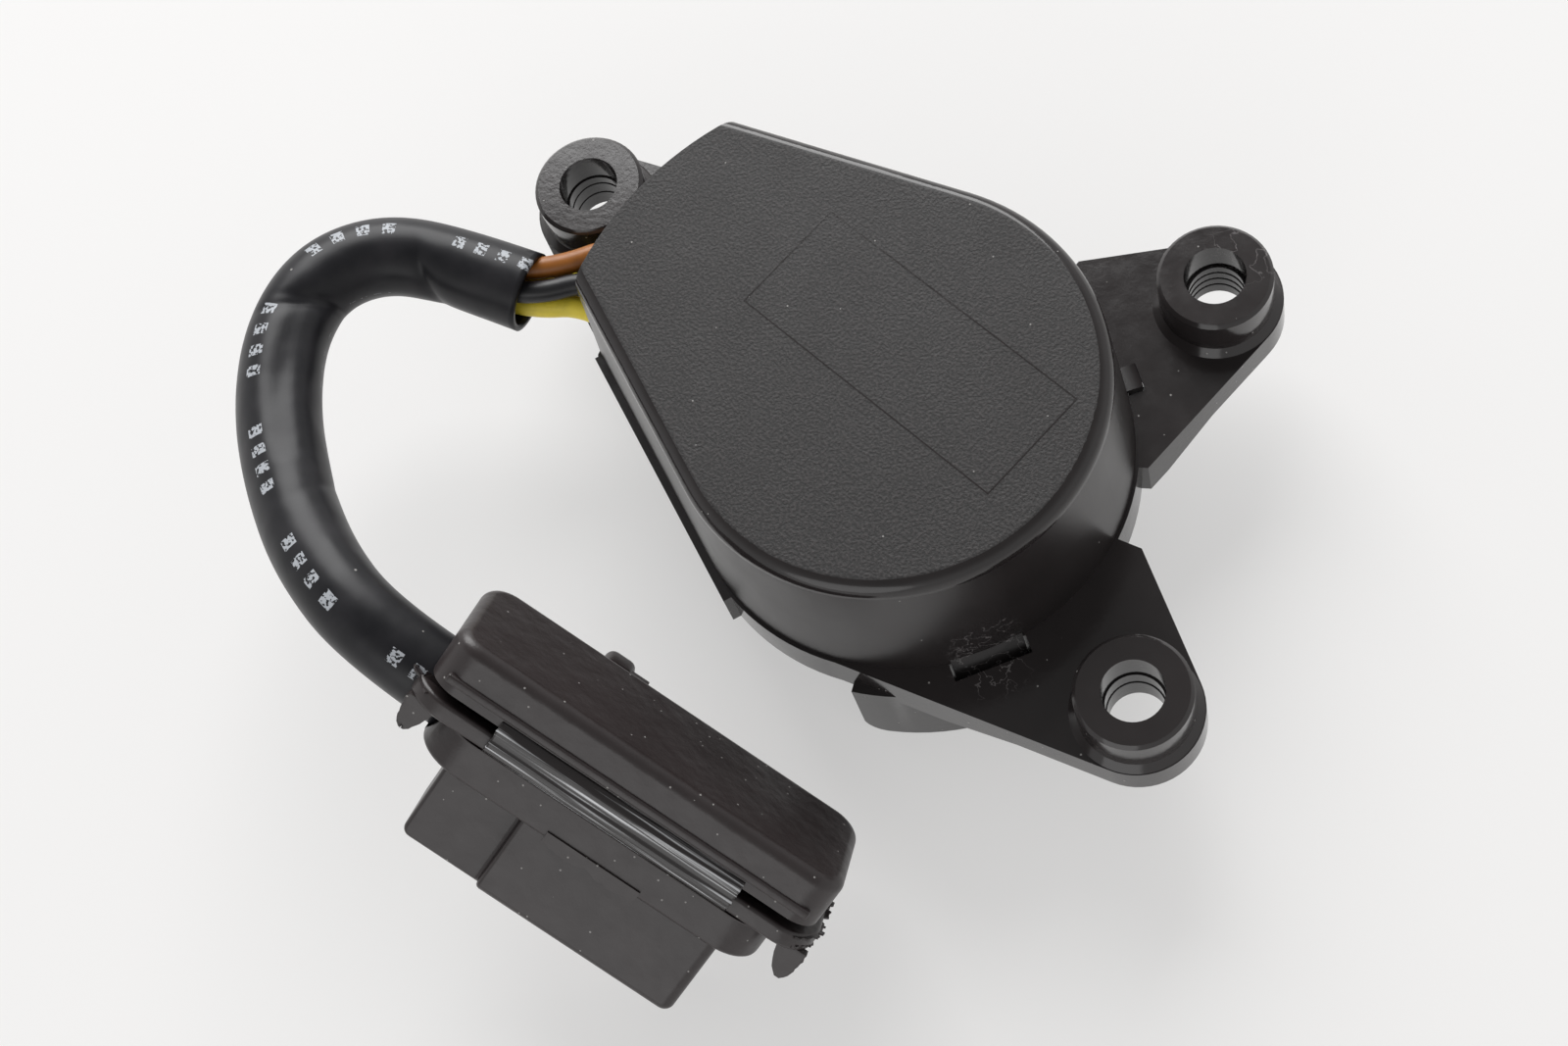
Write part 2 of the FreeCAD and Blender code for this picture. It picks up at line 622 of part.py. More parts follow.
for name, shift, lay, (contact_x, row, layer) in WIRES:
    low, high = CONTACT_Z
    at = V(contact_x, row * WIRE_ROW, 0)
    contact = block(-CONTACT_W / 2, CONTACT_W / 2, -CONTACT_D / 2, CONTACT_D / 2, low, high)
    contact.translate(at)
    grow_w = CONTACT_W / 2 + CAVITY_GAP
    grow_d = CONTACT_D / 2 + CAVITY_GAP
    cavity = block(-grow_w, grow_w, -grow_d, grow_d, NOSE_Z - OVER, high)
    cavity = cavity.fuse(cyl(WIRE_R + WIRE_BORE_GAP, high, CHAMBER_Z + OVER))
    cavity.translate(at)
    plug = plug.cut(cavity)
    contacts.append(placed(contact))
save("plug_contacts", Part.makeCompound(contacts))
save("plug_housing", placed(plug.removeSplitter()))

hood = rounded_block(HOOD_L, HOOD_W, HOOD_Z[0], HOOD_Z[1], HOOD_CORNER)
hood_top = [e for e in hood.Edges if e.BoundBox.ZMin > HOOD_Z[1] - SAME]
hood = hood.makeFillet(HOOD_ROUND, hood_top)
hood = hood.cut(block(-HOOD_L / 2 + HOOD_T, HOOD_L / 2 - HOOD_T, -HOOD_W / 2 + HOOD_T,
                      HOOD_W / 2 - HOOD_T, HOOD_Z[0] - OVER, HOOD_Z[1] - HOOD_T))
notch_r = SLEEVE_R + HOOD_Z[0]
hood = hood.cut(Part.makeCylinder(notch_r, HOOD_L, V(-HOOD_L, 0, PLUG_CABLE_Z), V(1, 0, 0)))
nub = block(NUB_X - NUB_SIZE[0] / 2, NUB_X + NUB_SIZE[0] / 2, HOOD_W / 2 - HOOD_T / 2,
            HOOD_W / 2 + NUB_SIZE[1], NUB_Z, NUB_Z + NUB_SIZE[2])
hood = hood.fuse(nub).removeSplitter()
save("plug_hood", placed(hood))

hinge_y = -HOOD_W / 2
bow = Part.Arc(V(0, hinge_y - HINGE_T, HINGE_Z[0]),
               V(0, hinge_y - HINGE_T - HINGE_BULGE, (HINGE_Z[0] + HINGE_Z[1]) / 2),
               V(0, hinge_y - HINGE_T, HINGE_Z[1])).toShape()
flange_y = -FLANGE_W / 2
foot_top = FLANGE_Z[1]
strip = [bow,
         Part.makeLine(V(0, hinge_y - HINGE_T, HINGE_Z[1]), V(0, hinge_y - HINGE_T / 2, HINGE_Z[1])),
         Part.makeLine(V(0, hinge_y - HINGE_T / 2, HINGE_Z[1]), V(0, hinge_y - HINGE_T / 2, foot_top)),
         Part.makeLine(V(0, hinge_y - HINGE_T / 2, foot_top), V(0, flange_y, foot_top)),
         Part.makeLine(V(0, flange_y, foot_top), V(0, flange_y, HINGE_Z[0])),
         Part.makeLine(V(0, flange_y, HINGE_Z[0]), V(0, hinge_y - HINGE_T, HINGE_Z[0]))]
film = Part.Face(Part.Wire(Part.__sortEdges__(strip))).extrude(V(HINGE_L, 0, 0))
film.translate(V(-HINGE_L / 2, 0, 0))
save("film_hinge", placed(film))
pivot = in_plug(0, hinge_y - PIVOT_OUT, PIVOT_Z)
print("hood pivot", tuple(round(c, 3) for c in pivot), "axis",
      tuple(round(c, 5) for c in plug_turn.multVec(V(1, 0, 0))))
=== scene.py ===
# %% [markdown]
# # A fan-aspirated temperature sensor
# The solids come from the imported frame, in metres, standing on the floor at Z = 0. This lesson gives
# them finishes, models the soft and worn pieces anew, and sets up the studio.

# %% Load the frame
import json
import math
import random

import bpy
from mathutils import Matrix, Vector

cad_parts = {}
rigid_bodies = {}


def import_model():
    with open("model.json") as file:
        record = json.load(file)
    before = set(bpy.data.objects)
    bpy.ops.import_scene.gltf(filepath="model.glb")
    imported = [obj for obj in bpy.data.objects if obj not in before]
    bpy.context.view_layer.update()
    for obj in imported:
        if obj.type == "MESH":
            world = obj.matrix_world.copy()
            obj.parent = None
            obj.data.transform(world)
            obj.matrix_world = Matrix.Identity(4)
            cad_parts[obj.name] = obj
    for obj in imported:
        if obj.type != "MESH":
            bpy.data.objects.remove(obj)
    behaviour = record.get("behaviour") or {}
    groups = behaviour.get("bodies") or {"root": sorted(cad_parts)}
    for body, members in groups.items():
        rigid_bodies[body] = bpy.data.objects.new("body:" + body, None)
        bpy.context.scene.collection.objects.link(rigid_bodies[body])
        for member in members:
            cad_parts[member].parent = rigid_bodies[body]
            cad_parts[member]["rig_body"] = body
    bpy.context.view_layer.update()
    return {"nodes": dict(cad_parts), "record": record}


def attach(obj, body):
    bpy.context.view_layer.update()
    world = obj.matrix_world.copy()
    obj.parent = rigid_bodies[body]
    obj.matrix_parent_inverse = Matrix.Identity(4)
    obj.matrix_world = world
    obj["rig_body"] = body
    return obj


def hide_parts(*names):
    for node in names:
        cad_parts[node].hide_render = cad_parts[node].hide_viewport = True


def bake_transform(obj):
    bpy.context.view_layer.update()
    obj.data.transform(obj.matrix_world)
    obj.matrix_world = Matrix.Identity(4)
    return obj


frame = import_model()
MM = 0.001
SEED = 4
random.seed(SEED)

# %% [markdown]
# ## Camera
# The lens and the place were worked out from the round cover and the three bosses, whose true shapes
# are known, so that the frame falls on the picture's own outlines.

# %% Camera
SENSOR_W = 36.0
LENS = 66.8
CAMERA_AT = (0.100767, -0.059157, 0.266247)
CAMERA_TURN = (22.549, 9.957, 43.652)
camera_data = bpy.data.cameras.new("camera")
camera_data.sensor_width = SENSOR_W
camera_data.lens = LENS
camera = bpy.data.objects.new("camera", camera_data)
camera.location = CAMERA_AT
camera.rotation_euler = [math.radians(a) for a in CAMERA_TURN]
bpy.context.scene.collection.objects.link(camera)
bpy.context.scene.camera = camera
bpy.context.scene.view_settings.view_transform = "Standard"
print("camera at", camera.location)

# %% [markdown]
# ## Shader maths
# A socket in a small class lets a mask be written as plain arithmetic. Each operator adds one Math
# node, and one method makes any other kind of node.

# %% Socket class
MIX_FACTOR = 0
MIX_A = 6
MIX_B = 7
MIX_COLOUR = 2


class Field:
    def __init__(self, tree, socket=None):
        self.tree = tree
        self.socket = socket

    def node(self, kind, settings=None, inputs=None, pick=0):
        made = self.tree.nodes.new(kind)
        for name, value in (settings or {}).items():
            setattr(made, name, value)
        for key, value in (inputs or {}).items():
            if isinstance(value, Field):
                self.tree.links.new(value.socket, made.inputs[key])
            else:
                made.inputs[key].default_value = value
        return Field(self.tree, made.outputs[pick])

    def math(self, operation, first, second=0.0):
        return self.node("ShaderNodeMath", {"operation": operation}, {0: first, 1: second})

    def __add__(self, other):
        return self.math("ADD", self, other)

    def __radd__(self, other):
        return self.math("ADD", other, self)

    def __sub__(self, other):
        return self.math("SUBTRACT", self, other)

    def __rsub__(self, other):
        return self.math("SUBTRACT", other, self)

    def __mul__(self, other):
        return self.math("MULTIPLY", self, other)

    def __rmul__(self, other):
        return self.math("MULTIPLY", other, self)

    def __truediv__(self, other):
        return self.math("DIVIDE", self, other)

    def __rtruediv__(self, other):
        return self.math("DIVIDE", other, self)

    def __gt__(self, other):
        return self.math("GREATER_THAN", self, other)

    def __lt__(self, other):
        return self.math("LESS_THAN", self, other)

    def ramp(self, low, high):
        return self.node("ShaderNodeMapRange", {"interpolation_type": "SMOOTHSTEP"},
                         {"Value": self, "From Min": low, "From Max": high})

    def mix(self, colour_a, colour_b):
        return self.node("ShaderNodeMix", {"data_type": "RGBA"},
                         {MIX_FACTOR: self, MIX_A: colour_a, MIX_B: colour_b}, pick=MIX_COLOUR)


print("socket class ready")

# %% [markdown]
# A finish is one material. It knows the place on the piece, and it makes noise, specks and bumps at
# sizes given in metres.


# %% Finish class
class Finish:
    def __init__(self, name, **values):
        self.material = bpy.data.materials.new(name)
        self.material.use_nodes = True
        self.tree = self.material.node_tree
        self.shader = self.tree.nodes["Principled BSDF"]
        for socket, value in values.items():
            self.shader.inputs[socket.replace("_", " ")].default_value = value
        self.place = Field(self.tree).node("ShaderNodeTexCoord", pick="Object")
        self.x, self.y, self.z = [
            self.place.node("ShaderNodeSeparateXYZ", None, {0: self.place}, axis) for axis in "XYZ"]

    def noise(self, size, detail=2.0):
        return self.place.node("ShaderNodeTexNoise", None,
                               {"Vector": self.place, "Scale": 1 / size, "Detail": detail})

    def specks(self, size, radius, share):
        cells = {"Vector": self.place, "Scale": 1 / size}
        distance = self.place.node("ShaderNodeTexVoronoi", None, cells)
        tint = self.place.node("ShaderNodeTexVoronoi", None, cells, pick="Color")
        return (distance < radius) * (tint > 1 - share)

    def feed(self, socket, field):
        self.tree.links.new(field.socket, self.shader.inputs[socket])

    def bump(self, height, depth):
        self.feed("Normal", height.node("ShaderNodeBump", None, {
            "Height": height, "Strength": 1.0, "Distance": depth}))


def rgb(red, green, blue):
    return (red, green, blue, 1.0)


print("finish class ready")

# %% [markdown]
# ## Moulded plastics
# The real parts are black mouldings with a soft sheen, fine grain and many specks of dust. Their own
# colour is almost black. The grey that one sees is the white room mirrored in the surface. Round two
# places near the flange a web of thin scratches shows.

# %% Moulded finishes
PLASTIC_IOR = 1.5
DUST = rgb(0.30, 0.29, 0.28)
SPECK_SIZE = 1.3 * MM
SPECK_R = 0.075
SPECK_ROUGH = 0.3
SCRATCH = rgb(0.14, 0.13, 0.13)
SCRATCH_SPOTS = ((19.7 * MM, -10.3 * MM, 4.6 * MM), (12.5 * MM, 34.2 * MM, 4.2 * MM))
SCRATCH_HIGH = 19.5 * MM
SCRATCH_SIZE = 1.9 * MM
SCRATCH_THIN = 0.00008
NOISE_MEAN = 0.5
FINE = 3.0
FINER = 4.0
MOTTLE_SIZE = 6 * MM
MOTTLE_LIGHTER = 1.5
WEAR_SIZE = 2 * MM
WEAR_ROUGH = 0.16
WAVE_SIZE = 3 * MM


def scratches(finish):
    near = 0.0
    for x, y, reach in SCRATCH_SPOTS:
        off_x = finish.x - x
        off_y = finish.y - y
        near = 1 - (off_x * off_x + off_y * off_y).ramp(0.0, reach ** 2) + near
    web = finish.noise(SCRATCH_SIZE, FINE) - NOISE_MEAN
    return near * (finish.z < SCRATCH_HIGH) * (web * web < SCRATCH_THIN)


def moulding(name, colour, rough, grain, depth, dust, uneven):
    finish = Finish(name, IOR=PLASTIC_IOR)
    lighter = tuple(MOTTLE_LIGHTER * c for c in colour)
    body = finish.noise(MOTTLE_SIZE).mix(rgb(*colour), rgb(*lighter))
    specks = finish.specks(SPECK_SIZE, SPECK_R, dust)
    dusted = specks.mix(body, DUST)
    finish.feed("Base Color", scratches(finish).mix(dusted, SCRATCH))
    wear = finish.noise(WEAR_SIZE, FINER)
    finish.feed("Roughness", wear * WEAR_ROUGH + (rough - WEAR_ROUGH / 2) + specks * SPECK_ROUGH)
    finish.bump(finish.noise(grain, FINE) + finish.noise(WAVE_SIZE) * uneven, depth)
    return finish


base_plastic = moulding("base_plastic", (0.021, 0.018, 0.018), rough=0.14, grain=0.5 * MM,
                        depth=0.008 * MM, dust=0.45, uneven=0.3)
plug_plastic = moulding("plug_plastic", (0.021, 0.016, 0.016), rough=0.36, grain=0.3 * MM,
                        depth=0.015 * MM, dust=0.6, uneven=9.0)
fan_plastic = moulding("fan_plastic", (0.02, 0.02, 0.02), rough=0.45, grain=0.5 * MM,
                       depth=0.01 * MM, dust=0.0, uneven=1.0)
print("plain mouldings made")

# %% [markdown]
# The cover has three finishes in one piece: a grained top, a shiny rounded edge and satin sides. Its
# height alone tells them apart.

# %% Cover finish
TOP_Z = 31.4 * MM
TOP_SKIN = 0.03 * MM
EDGE_Z = 29.7 * MM
GRAIN_SIZE = 0.28 * MM
GRAIN_DEPTH = 0.06 * MM
GRAIN_ON_SIDE = 0.04
GRAIN_DARK = rgb(0.006, 0.005, 0.005)
GRAIN_LIGHT = rgb(0.028, 0.024, 0.024)
GRAIN_RAMP = (0.4, 0.7)
COARSE_SIZE = 5 * MM
COARSE_ROUGH = 0.1
SIDE_DARK = rgb(0.014, 0.012, 0.012)
SIDE_LIGHT = rgb(0.024, 0.020, 0.020)
SIDE_ROUGH = 0.28
TOP_ROUGHER = 0.22
EDGE_SMOOTHER = 0.17
COVER_SPECK_SIZE = 1.4 * MM
COVER_SPECK_R = 0.06
COVER_SPECKS = 0.3
COVER_SPECK_ROUGH = 0.25
cover_plastic = Finish("cover_plastic", IOR=PLASTIC_IOR)
on_top = cover_plastic.z > TOP_Z - TOP_SKIN
on_edge = (cover_plastic.z > EDGE_Z) - on_top
grain = cover_plastic.noise(GRAIN_SIZE, FINE)
coarse = cover_plastic.noise(COARSE_SIZE)
dusty = cover_plastic.specks(COVER_SPECK_SIZE, COVER_SPECK_R, COVER_SPECKS)
top_tone = grain.ramp(*GRAIN_RAMP).mix(GRAIN_DARK, GRAIN_LIGHT)
side_tone = coarse.mix(SIDE_DARK, SIDE_LIGHT)
marked = dusty.mix(on_top.mix(side_tone, top_tone), DUST)
scratched = scratches(cover_plastic) * (1 - on_top)
cover_plastic.feed("Base Color", scratched.mix(marked, SCRATCH))
side_rough = SIDE_ROUGH + coarse * COARSE_ROUGH
zone_rough = side_rough + on_top * TOP_ROUGHER - on_edge * EDGE_SMOOTHER
cover_plastic.feed("Roughness", zone_rough + dusty * COVER_SPECK_ROUGH)
grain_share = on_top * (1 - GRAIN_ON_SIDE) + GRAIN_ON_SIDE
cover_plastic.bump(grain * grain_share, GRAIN_DEPTH)
print("cover finish made")

# %% [markdown]
# ## Metals and small parts
# What sits inside is seen only when the housing is opened or through the vents, so these finishes are
# plain: one colour, one roughness, and a little unevenness in the shine.

# %% Plain finishes
SHEEN_SIZE = 1.5 * MM
SHEEN_ROUGH = 0.2


def plain(name, colour, rough, metal):
    finish = Finish(name, Base_Color=rgb(*colour), Metallic=metal)
    finish.feed("Roughness", finish.noise(SHEEN_SIZE) * SHEEN_ROUGH + (rough - SHEEN_ROUGH / 2))
    return finish


plain_table = (
    ("brass", (0.72, 0.52, 0.24), 0.3, 1.0),
    ("bronze", (0.46, 0.30, 0.15), 0.45, 1.0),
    ("steel", (0.52, 0.52, 0.53), 0.35, 1.0),
    ("copper", (0.62, 0.27, 0.12), 0.32, 1.0),
    ("board", (0.03, 0.13, 0.05), 0.35, 0.0),
    ("chip", (0.02, 0.02, 0.02), 0.5, 0.0),
    ("can", (0.6, 0.6, 0.62), 0.3, 1.0),
    ("bead", (0.22, 0.09, 0.04), 0.25, 0.0),
    ("tinned", (0.66, 0.66, 0.64), 0.28, 1.0),
    ("magnet", (0.05, 0.05, 0.055), 0.6, 0.0),
)
finishes = {row[0]: plain(*row) for row in plain_table}
finishes["base_plastic"] = base_plastic
finishes["cover_plastic"] = cover_plastic
finishes["plug_plastic"] = plug_plastic
finishes["fan_plastic"] = fan_plastic
slot_of = {row["node"]: row["material_slot"] for row in frame["record"]["subparts"]}
for node, piece in frame["nodes"].items():
    if slot_of[node] in finishes:
        piece.data.materials.clear()
        piece.data.materials.append(finishes[slot_of[node]].material)
print("finishes on", len(finishes), "slots")

# %% [markdown]
# ## Soft edges on the mouldings
# No moulded edge is perfectly sharp. A copy of each solid is merged, its flat faces are joined, and a
# narrow bevel goes round its edges. Where the bevel is clamped, the piece's shortest edge limits the
# width all over: on the base, with its many small edges, next to nothing of it is left.

# %% Edge bevels
MERGE = 0.0005 * MM
FLAT = math.radians(0.4)
BEVEL_FROM = math.radians(40)
BEVEL_SEGMENTS = 3
SMOOTH_TO = math.radians(30)
NORMAL_WEIGHT = 80


def only(piece):
    bpy.ops.object.select_all(action="DESELECT")
    piece.select_set(True)
    bpy.context.view_layer.objects.active = piece


def apply_modifier(piece, kind, **settings):
    only(piece)
    modifier = piece.modifiers.new(kind.lower(), kind)
    for name, value in settings.items():
        setattr(modifier, name, value)
    bpy.ops.object.modifier_apply(modifier=modifier.name)


def softened(node, width, clamp):
    cad = frame["nodes"][node]
    piece = bpy.data.objects.new(node + "_moulding", cad.data.copy())
    bpy.context.scene.collection.objects.link(piece)
    only(piece)
    bpy.ops.object.mode_set(mode="EDIT")
    bpy.ops.mesh.select_all(action="SELECT")
    bpy.ops.mesh.remove_doubles(threshold=MERGE)
    bpy.ops.mesh.dissolve_limited(angle_limit=FLAT)
    bpy.ops.object.mode_set(mode="OBJECT")
    apply_modifier(piece, "BEVEL", width=width, segments=BEVEL_SEGMENTS, limit_method="ANGLE",
                   angle_limit=BEVEL_FROM, use_clamp_overlap=clamp)
    bpy.ops.object.shade_smooth_by_angle(angle=SMOOTH_TO)
    apply_modifier(piece, "WEIGHTED_NORMAL", keep_sharp=True, weight=NORMAL_WEIGHT)
    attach(piece, cad["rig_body"])
    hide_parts(node)
    print(piece.name, len(piece.data.polygons), "faces")
    return piece


bevels = (("cover", 0.15 * MM, True), ("base", 0.2 * MM, True),
          ("plug_hood", 0.3 * MM, True), ("plug_housing", 0.45 * MM, False))
mouldings = {node: softened(node, width, clamp) for node, width, clamp in bevels}

# %% [markdown]
# The snap tongue on the near side sits low in its slot, so the slot reads as a dark, deep opening. The
# one on the far side reaches out a little further, and its top fills the slot.

# %% Snap tongues
BODY_R = 21.45 * MM
PLATE_Z = 14.2 * MM
TONGUE_DROP = 4.2 * MM
TONGUE_FACE = BODY_R + 0.8 * MM
TONGUE_FILL = BODY_R + 1.6 * MM
TONGUE_REACH = (BODY_R + 0.1 * MM, BODY_R + 1.6 * MM)
TONGUE_TOP = (PLATE_Z - 0.2 * MM, PLATE_Z + 1.0 * MM)
near_tongue = []
far_tongue = []
for vertex in mouldings["cover"].data.vertices:
    reach = math.hypot(vertex.co.x, vertex.co.y)
    in_ring = TONGUE_REACH[0] < reach < TONGUE_REACH[1]
    if in_ring and TONGUE_TOP[0] < vertex.co.z < TONGUE_TOP[1] and vertex.co.x > 0:
        (near_tongue if vertex.co.y < 0 else far_tongue).append(vertex)
for vertex in near_tongue:
    vertex.co.z -= TONGUE_DROP
for vertex in far_tongue:
    reach = math.hypot(vertex.co.x, vertex.co.y)
    if reach > TONGUE_FACE:
        vertex.co.x *= TONGUE_FILL / reach
        vertex.co.y *= TONGUE_FILL / reach
print("tongue points", len(near_tongue), "lowered", len(far_tongue), "on the far side")

# %% [markdown]
# A faint line on the cover's top marks where the mould's insert ended. It is a narrow frame that stands
# 0.03 mm proud: a plane is inset, its middle is deleted and the rest is extruded.

# %% Insert outline
INSERT_X = (-15.6 * MM, 14.8 * MM)
INSERT_Y = (-2.4 * MM, 9.5 * MM)
LINE_W = 0.12 * MM
LINE_H = 0.07 * MM
LINE_SUNK = 0.04 * MM
insert_at = (sum(INSERT_X) / 2, sum(INSERT_Y) / 2, TOP_Z - LINE_SUNK)
bpy.ops.object.select_all(action="DESELECT")
bpy.ops.mesh.primitive_plane_add(size=1, location=insert_at)
insert = bpy.context.object
insert.name = "insert_outline"
insert.scale = (INSERT_X[1] - INSERT_X[0], INSERT_Y[1] - INSERT_Y[0], 1)
bpy.ops.object.transform_apply(location=True, rotation=True, scale=True)
bpy.ops.object.mode_set(mode="EDIT")
bpy.ops.mesh.select_all(action="SELECT")
bpy.ops.mesh.inset(thickness=LINE_W, depth=0)
bpy.ops.mesh.delete(type="FACE")
bpy.ops.mesh.select_all(action="SELECT")
bpy.ops.mesh.extrude_region_move(TRANSFORM_OT_translate={"value": (0, 0, LINE_H)})
bpy.ops.mesh.select_all(action="SELECT")
bpy.ops.mesh.normals_make_consistent(inside=False)
bpy.ops.object.mode_set(mode="OBJECT")
insert.data.materials.append(base_plastic.material)
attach(insert, "housing")
print("insert outline", len(insert.data.polygons), "faces")

# %% [markdown]
# ## Four wires
# Each wire runs from the board through the window in the cover, along the sleeve and into the plug.
# A curve with a round bevel is the natural tool. Its control points are the cable's own route.

# %% Wire tools
WIRE_IOR = 1.47
WIRE_ROUGH = 0.32
SOIL_SIZE = 3 * MM
SOIL_RAMP = (0.4, 0.7)
SOIL_DARKER = 0.75
SOIL_ROUGH = 0.15
CURVE_ORDER = 3
CURVE_STEPS = 24


def insulation(name, colour):
    finish = Finish(name, IOR=WIRE_IOR)
    soil = finish.noise(SOIL_SIZE, FINER)
    darker = tuple(SOIL_DARKER * c for c in colour)
    finish.feed("Base Color", soil.ramp(*SOIL_RAMP).mix(rgb(*colour), rgb(*darker)))
    finish.feed("Roughness", soil * SOIL_ROUGH + WIRE_ROUGH)
    return finish


def line(name, points):
    data = bpy.data.curves.new(name, "CURVE")
    data.dimensions = "3D"
    spline = data.splines.new("NURBS")
    spline.points.add(len(points) - 1)
    for place, point in zip(points, spline.points):
        point.co = (*[c * MM for c in place], 1)
    spline.order_u = CURVE_ORDER
    spline.use_endpoint_u = True
    spline.resolution_u = CURVE_STEPS
    curve = bpy.data.objects.new(name, data)
    bpy.context.scene.collection.objects.link(curve)
    return curve


print("wire tools ready")

# %% [markdown]
# Every row names a wire, its colour, its length in metres and its route in millimetres.

# %% Wires
WIRE_D = 2.2 * MM
WIRE_ROUND = 4
wire_table = (
    ("brown", (0.34, 0.115, 0.015), 0.1134, (
        (-25.4, -1.0, 23.0), (-25.4, -1.0, 19.95), (-34.0, -1.0, 19.95), (-39.5, -10.88, 20.04),
        (-47.0, -13.7, 21.04), (-53.7, -17.63, 21.94), (-56.84, -24.27, 22.74), (-54.55, -31.72, 23.74),
        (-48.52, -38.36, 24.64), (-40.69, -43.3, 26.02), (-31.55, -47.14, 28.43), (-20.57, -48.79, 29.76),
        (-7.83, -46.98, 23.29), (-3.81, -45.98, 21.53), (-4.14, -49.73, 19.26))),
    ("black", (0.012, 0.012, 0.014), 0.1102, (
        (-25.4, -6.4, 23.0), (-25.4, -6.4, 19.95), (-34.0, -6.4, 19.95), (-38.61, -13.21, 20.04),
        (-45.92, -15.96, 21.04), (-51.88, -19.34, 21.94), (-54.34, -24.37, 22.74), (-52.42, -30.41, 23.74),
        (-46.93, -36.43, 24.64), (-39.55, -41.07, 26.02), (-30.89, -44.73, 28.43), (-20.58, -46.29, 29.76),
        (-7.65, -44.84, 24.58), (0.39, -43.06, 20.93), (-0.13, -48.95, 17.37))),
    ("yellow", (0.95, 0.78, 0.01), 0.1142, (
        (-22.4, -5.6, 23.0), (-22.4, -5.6, 17.65), (-34.0, -5.6, 17.65), (-39.79, -10.99, 17.56),
        (-47.28, -13.84, 18.56), (-53.92, -17.86, 19.46), (-56.86, -24.63, 20.26), (-54.38, -31.99, 21.26),
        (-48.27, -38.57, 22.16), (-40.25, -43.53, 23.58), (-31.11, -47.27, 25.97), (-20.92, -48.79, 27.29),
        (-9.27, -45.41, 20.9), (-5.24, -44.41, 19.14), (-5.57, -48.16, 16.87))),
    ("pale_yellow", (1.0, 0.80, 0.07), 0.1125, (
        (-22.4, -8.8, 23.0), (-22.4, -8.8, 17.65), (-34.0, -8.8, 17.65), (-38.9, -13.32, 17.56),
        (-46.2, -16.1, 18.56), (-52.1, -19.57, 19.46), (-54.36, -24.73, 20.26), (-52.25, -30.68, 21.26),
        (-46.68, -36.64, 22.16), (-39.11, -41.3, 23.58), (-30.45, -44.86, 25.97), (-20.93, -46.29, 27.29),
        (-9.08, -43.27, 22.19), (-1.04, -41.49, 18.54), (-1.56, -47.38, 14.98))),
)
for name, colour, length, points in wire_table:
    wire = line("wire_" + name + "_lead", points)
    wire.data.bevel_depth = WIRE_D / 2
    wire.data.bevel_resolution = WIRE_ROUND
    wire.data.use_fill_caps = True
    wire.data.materials.append(insulation("wire_" + name, colour).material)
    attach(wire, "housing")
    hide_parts("wire_" + name)
print("wires", len(wire_table))

# %% [markdown]
# ## The sleeve
# A soft, shiny tube slipped over the wires. Its thickness varies a little along the way, and it has
# several creases and one long shallow groove. Rings of points are set square to the route, joined to a
# tube, and given a wall.

# %% Sleeve route
SLEEVE_D = 8.3 * MM
SLEEVE_WALL = 0.6 * MM
sleeve_points = (
    (-39.2, -12.1, 18.8), (-46.6, -14.9, 19.8), (-52.9, -18.6, 20.7), (-55.6, -24.5, 21.5),
    (-53.4, -31.2, 22.5), (-47.6, -37.5, 23.4), (-39.9, -42.3, 24.8), (-31.0, -46.0, 27.2),
    (-20.75, -47.55, 28.5), (-12.4, -45.9, 24.6))
guide = line("sleeve_guide", sleeve_points)
guide_mesh = bpy.data.meshes.new_from_object(guide)
route = [vertex.co.copy() for vertex in guide_mesh.vertices]
bpy.data.objects.remove(guide)
sleeve_length = sum((b - a).length for a, b in zip(route, route[1:]))
print("sleeve", len(route), "points", round(sleeve_length / MM, 1), "mm")

# %% [markdown]
# A crease is given by its place along the sleeve, its strength, its width and its turn round the tube.
# The groove has a start, a stop, a turn and a strength.

# %% Sleeve folds
CREASES = ((0.13, 0.17, 0.018, 0.5), (0.33, 0.22, 0.020, 0.7), (0.355, 0.12, 0.014, 1.2),
           (0.66, 0.06, 0.025, 0.4))
CREASE_SLANT = 0.025
GROOVE = (0.34, 0.62, 1.05, 0.09)
GROOVE_W = 0.32
GROOVE_FADE = 0.5


def dent(share, angle):
    depth = 0.0
    for place, strength, width, turn in CREASES:
        slant = CREASE_SLANT * math.sin(angle - turn)
        near = math.exp(-abs(share - place - slant) / width)
        inside = max(0.0, math.cos(angle - turn)) ** 2
        depth += strength * near * inside
    start, stop, turn, strength = GROOVE
    if start < share < stop:
        fade = math.sin(math.pi * (share - start) / (stop - start)) ** GROOVE_FADE
        depth += strength * fade * math.exp(-((angle - turn - share + start) / GROOVE_W) ** 2)
    return depth


print("creases", len(CREASES))

# %% Sleeve mesh
RING = 48
SWELL = 0.03
SWELL_WAVES = 9
corners = []
travel = []
turns = []
travelled = 0.0
for number, at in enumerate(route):
    before = route[max(number - 1, 0)]
    after = route[min(number + 1, len(route) - 1)]
    travelled += (at - before).length
    share = travelled / sleeve_length
    heading = (after - before).normalized()
    side = heading.cross(Vector((0, 0, 1))).normalized()
    lift = side.cross(heading)
    swell = 1 - SWELL * (1 + math.sin(SWELL_WAVES * share))
    for step in range(RING):
        angle = 2 * math.pi * step / RING
        radius = SLEEVE_D / 2 * swell * (1 - dent(share, angle))
        corners.append(at - radius * (math.cos(angle) * side - math.sin(angle) * lift))
        travel.append(travelled)
        turns.append(angle)
walls = []
for ring in range(len(route) - 1):
    for step in range(RING):
        a = ring * RING + step
        b = ring * RING + (step + 1) % RING
        walls.append((a, b, b + RING, a + RING))
sleeve_mesh = bpy.data.meshes.new("sleeve_tube")
